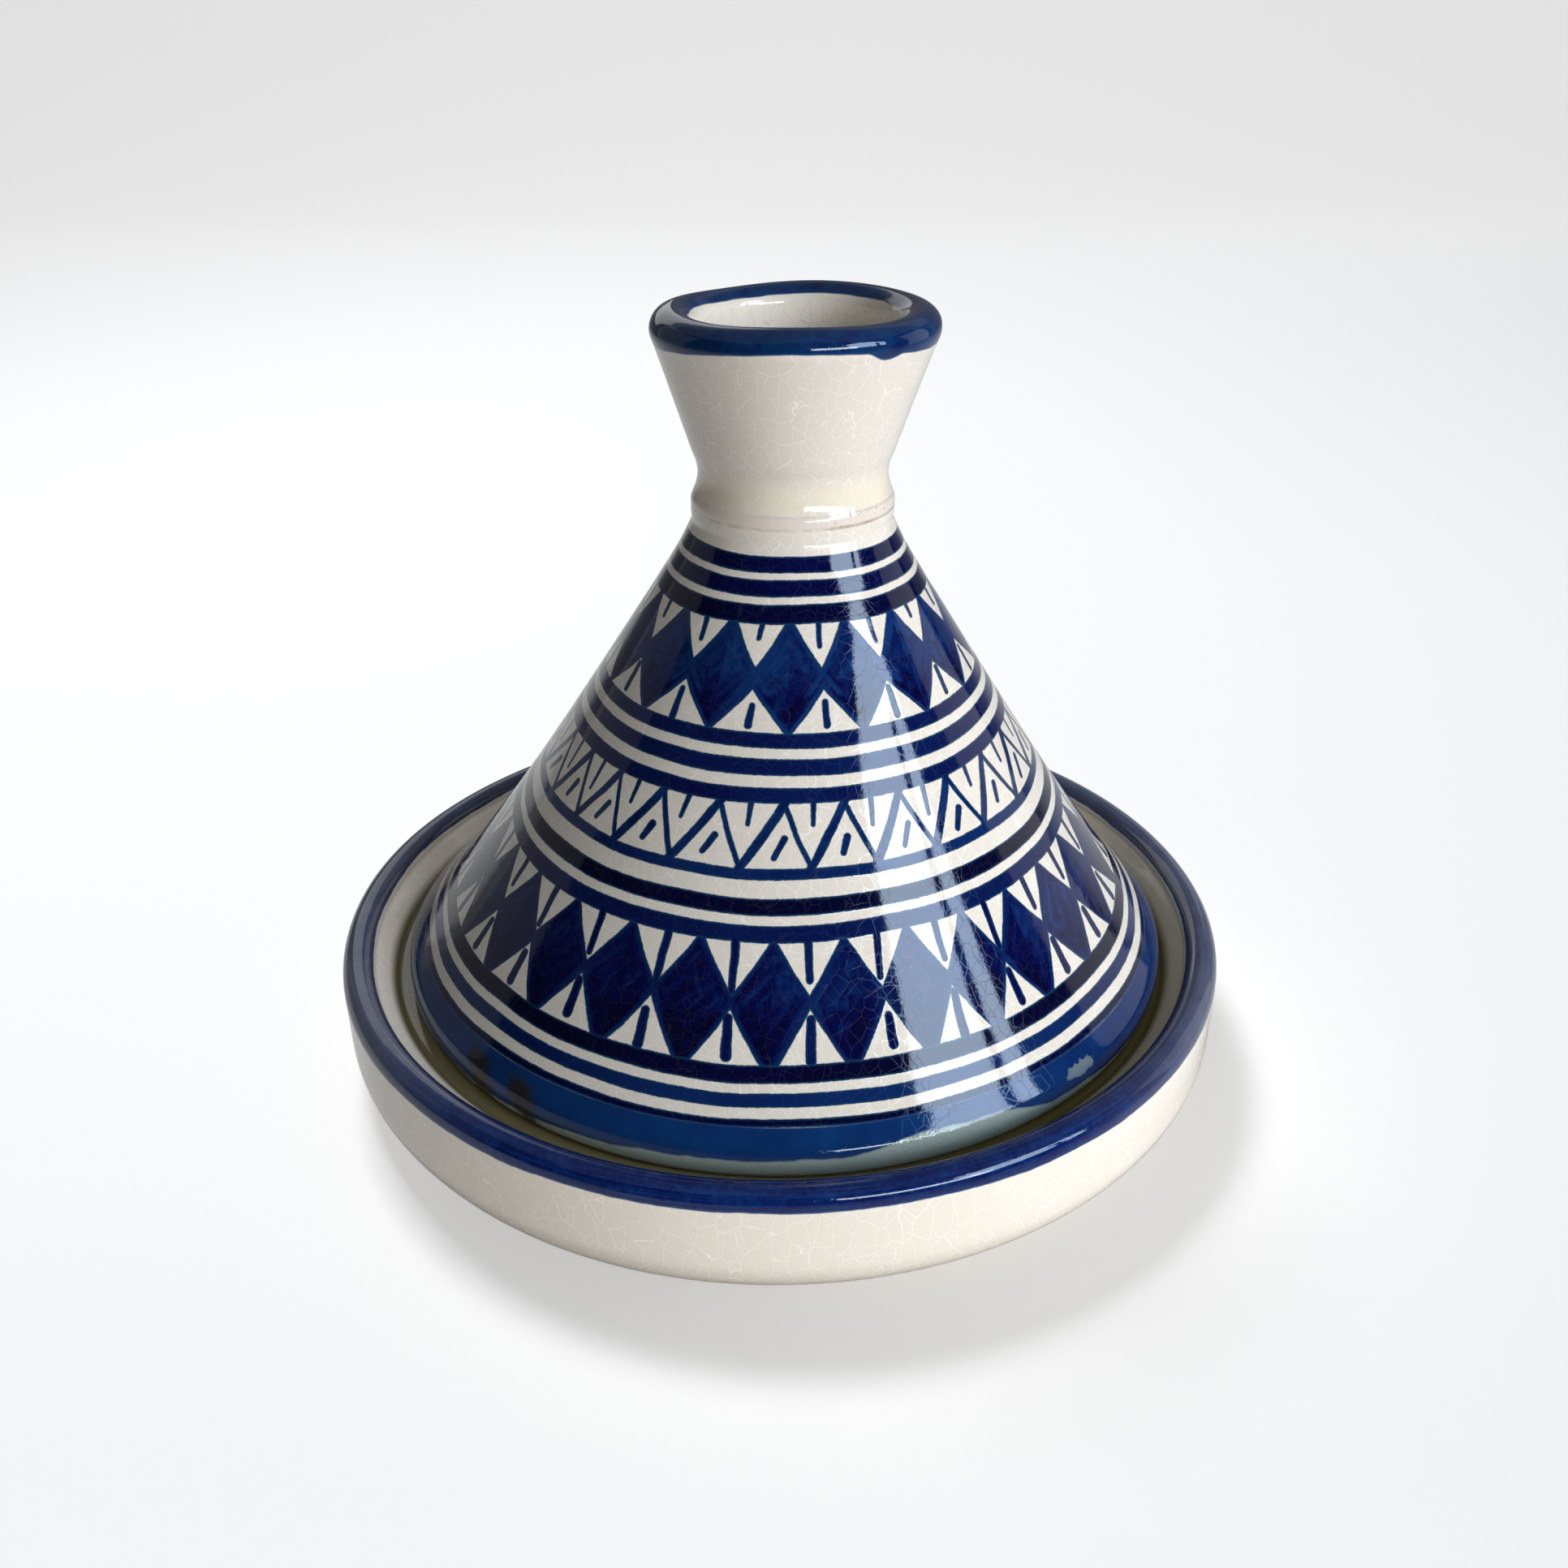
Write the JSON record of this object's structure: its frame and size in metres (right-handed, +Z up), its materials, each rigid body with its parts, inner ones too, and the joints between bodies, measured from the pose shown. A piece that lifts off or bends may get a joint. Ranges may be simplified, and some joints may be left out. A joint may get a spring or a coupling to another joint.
{
  "type": "tagine pot",
  "caption": "Hand-painted glazed tagine: shallow round dish with a tall conical lid that lifts off by its flared, hollow cup knob.",
  "frame": {"origin": "centre of the dish's resting plane, under the middle of the foot", "axes": "+Z up along the axis both pieces were turned on, towards the knob; -Y faces the viewer of the usual front view"},
  "size_m": [0.27, 0.27, 0.224],
  "materials": {
    "dish_glaze": "gloss",
    "lid_glaze": "gloss"
  },
  "bodies": {
    "dish": {"dish": "dish_glaze"},
    "lid": {"lid": "lid_glaze"}
  },
  "joints": [
    {"name": "lid_lift", "type": "slide", "parent": "dish", "child": "lid", "axis": [0, 0, 1], "range_m": [0, 0.15]}
  ]
}
